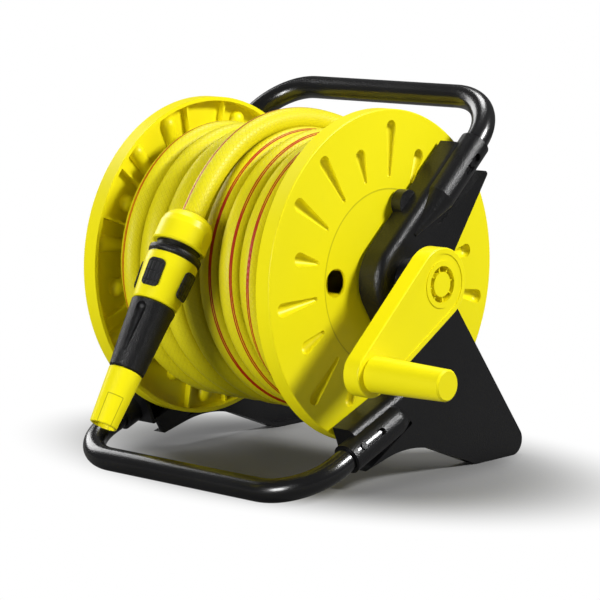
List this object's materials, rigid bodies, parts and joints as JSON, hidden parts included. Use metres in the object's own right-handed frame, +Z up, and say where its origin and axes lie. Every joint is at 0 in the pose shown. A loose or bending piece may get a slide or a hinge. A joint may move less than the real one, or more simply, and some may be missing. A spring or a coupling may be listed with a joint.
{
  "type": "garden hose reel",
  "caption": "Free-standing hose reel: a crank-turned drum of wound hose between two side panels joined by a tube handle and a tube foot, with a quick connector and spray nozzle on the hose end.",
  "frame": {"origin": "on the floor, under the middle of the overall box of the frame, drum and crank (the hanging hose end left out)", "axes": "+X along the drum axis to the crank side, -Y to the front, where the hose end hangs, +Z up"},
  "size_m": [0.3729, 0.364, 0.2904],
  "materials": {
    "panel_black": "grained moulding",
    "tube_black": "gloss powder coat with a fine texture",
    "drum_yellow": "semi gloss moulding",
    "hose_yellow": "satin, braid just showing",
    "fitting_yellow": "semi gloss moulding",
    "fitting_black": "satin moulding",
    "grip_black": "soft, ribbed",
    "shaft_plastic": "plain moulding",
    "steel": "zinc plated",
    "seal": "smooth"
  },
  "bodies": {
    "frame": {"side_panel_crank": "panel_black", "side_panel_inlet": "panel_black", "handle_tube": "tube_black", "base_tube": "tube_black", "handle_snap_pins": "fitting_black", "base_snap_pins": "fitting_black", "axle_bush_crank": "fitting_black", "axle_bush_inlet": "fitting_black", "hose_free_end": "hose_yellow", "connector_nut": "fitting_yellow", "hose_collet": "fitting_black", "connector_core": "fitting_black", "sleeve_spring": "steel"},
    "drum": {"drum_half_crank": "drum_yellow", "drum_half_inlet": "drum_yellow", "hub_cover_crank": "drum_yellow", "hub_cover_inlet": "drum_yellow", "cover_screws_crank": "steel", "cover_screws_inlet": "steel", "drive_shaft": "shaft_plastic", "water_axle": "shaft_plastic", "axle_clip": "steel", "axle_seal_rings": "seal", "drum_outlet_elbow": "shaft_plastic", "hose_clamp": "steel", "hose_winding": "hose_yellow", "crank_arm": "fitting_yellow", "crank_cap": "fitting_yellow", "crank_screw": "steel", "grip_pin": "steel"},
    "grip": {"crank_grip": "fitting_yellow"},
    "inlet": {"inlet_elbow": "fitting_yellow", "inlet_nipple": "fitting_black"},
    "sleeve": {"release_sleeve": "fitting_yellow", "connector_ring": "fitting_black", "sleeve_pads": "grip_black"},
    "nozzle": {"nozzle_body": "fitting_black", "plug_seal_ring": "seal", "spray_pin": "fitting_black"},
    "tip": {"nozzle_tip": "fitting_yellow"}
  },
  "joints": [
    {"name": "drum_spin", "type": "hinge", "parent": "frame", "child": "drum", "pos_m": [-0.03465, -0.0113, 0.154], "axis": [1, 0, 0], "continuous": true},
    {"name": "grip_spin", "type": "hinge", "parent": "drum", "child": "grip", "pos_m": [0.15235, -0.08637, 0.09743], "axis": [1, 0, 0], "continuous": true},
    {"name": "inlet_swivel", "type": "hinge", "parent": "frame", "child": "inlet", "pos_m": [-0.177, -0.0113, 0.154], "axis": [1, 0, 0], "continuous": true},
    {"name": "sleeve_slide", "type": "slide", "parent": "frame", "child": "sleeve", "axis": [0, 0.5373, 0.8434], "range_m": [0, 0.004], "stiffness_N_per_m": 400, "springref_m": -0.002},
    {"name": "nozzle_swivel", "type": "hinge", "parent": "frame", "child": "nozzle", "pos_m": [-0.02315, -0.1809, 0.11931], "axis": [0, -0.5373, -0.8434], "continuous": true},
    {"name": "tip_twist", "type": "hinge", "parent": "nozzle", "child": "tip", "pos_m": [-0.02315, -0.20669, 0.07883], "axis": [0, -0.5373, -0.8434], "range_deg": [0, 270]}
  ]
}
